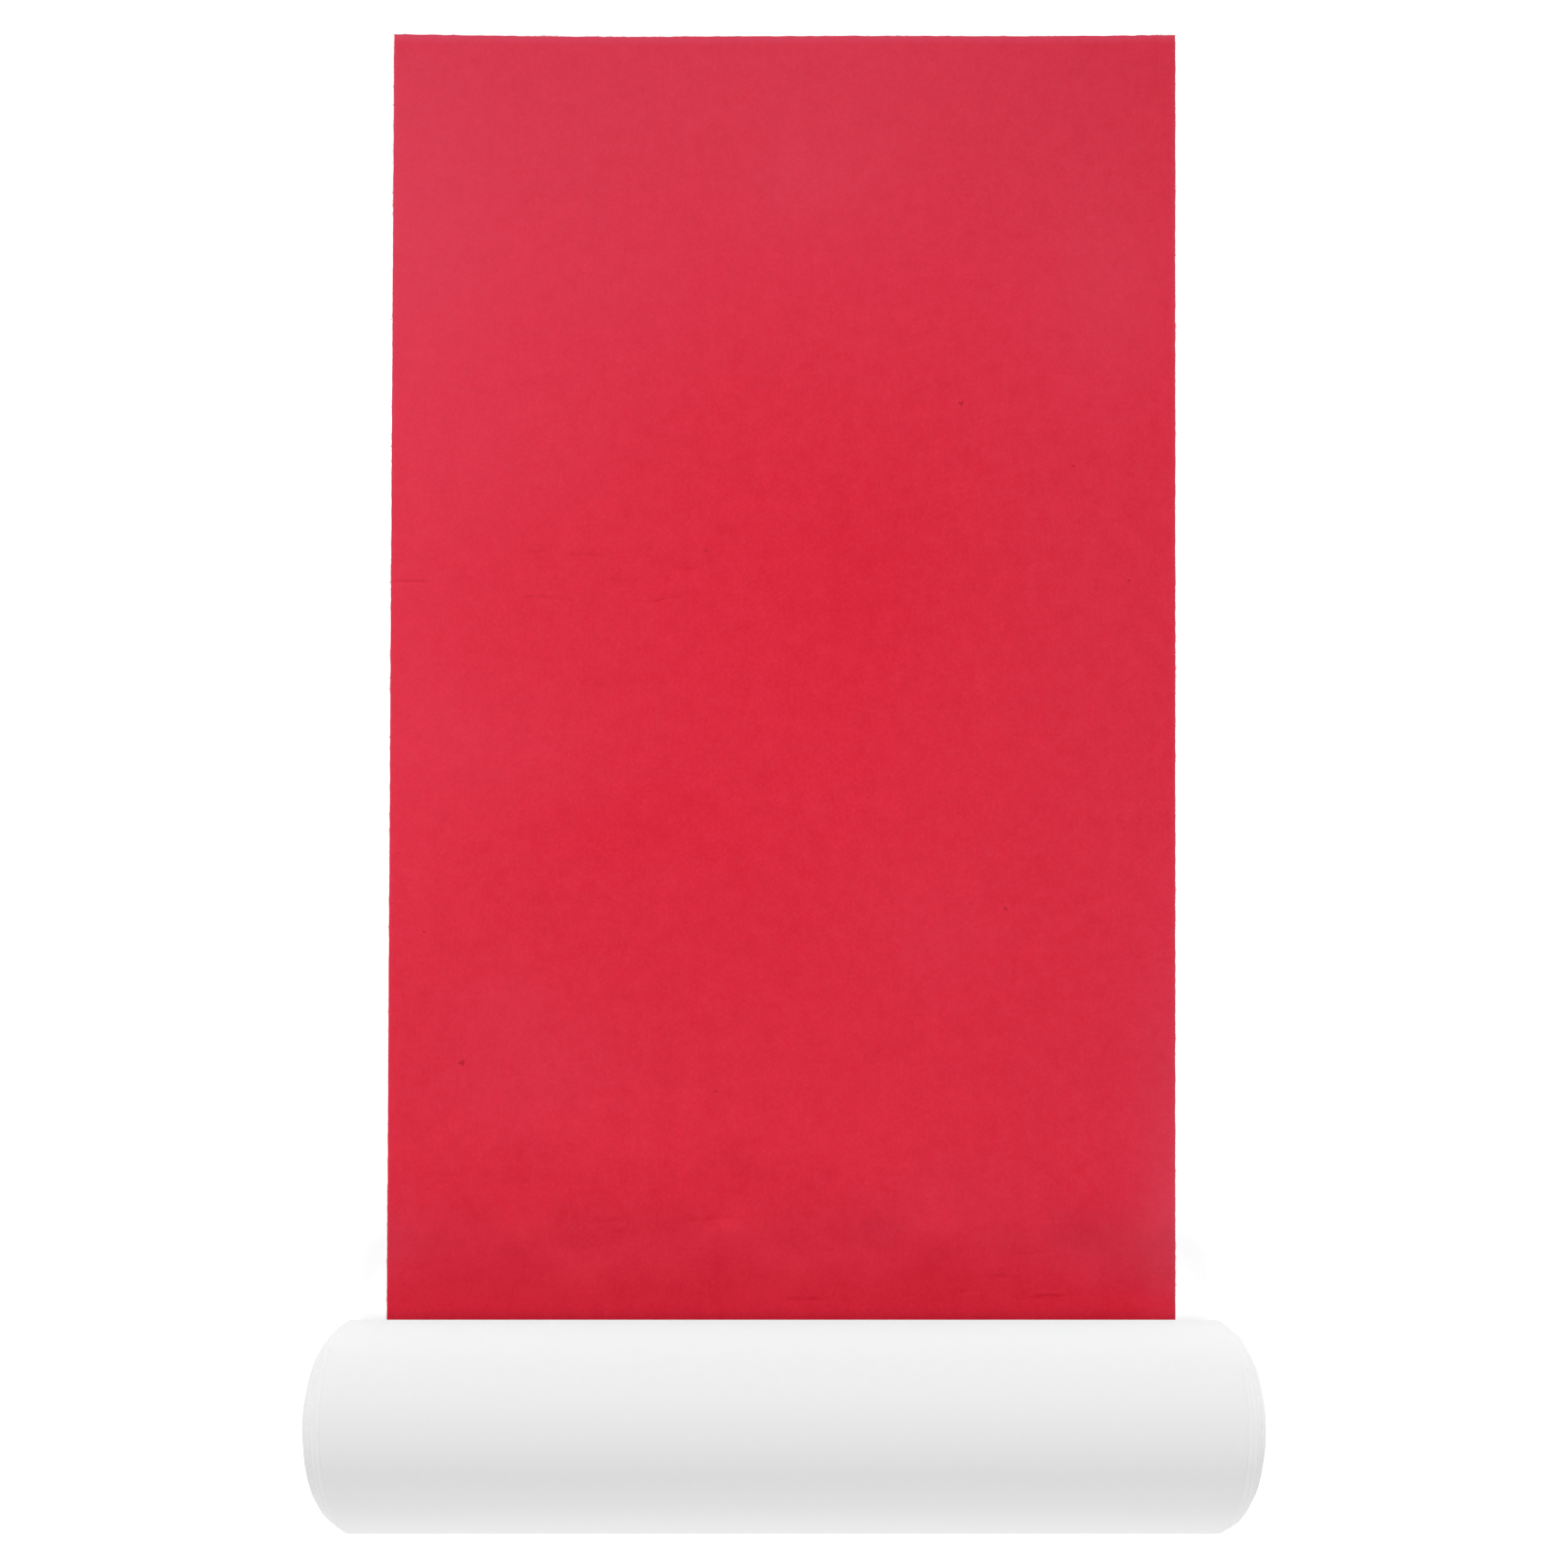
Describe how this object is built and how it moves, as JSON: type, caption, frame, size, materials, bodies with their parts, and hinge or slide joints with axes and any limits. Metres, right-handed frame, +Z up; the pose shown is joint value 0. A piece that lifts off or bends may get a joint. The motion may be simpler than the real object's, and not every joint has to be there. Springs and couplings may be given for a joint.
{
  "type": "roll of felt",
  "caption": "Red craft felt with a white paper backing, wound into a roll without a core, its loose end unrolled flat.",
  "frame": {"origin": "middle of the whole part's footprint, on the surface that it lies on", "axes": "+X along the roll, +Y from the roll along the loose end to its far edge, +Z up"},
  "size_m": [0.4964, 0.8178, 0.1023],
  "materials": {
    "felt": "matt needled felt, red",
    "backing_paper": "smooth satin paper, white"
  },
  "bodies": {
    "root": {"felt_roll": "backing_paper", "felt_sheet": "felt"}
  },
  "joints": []
}
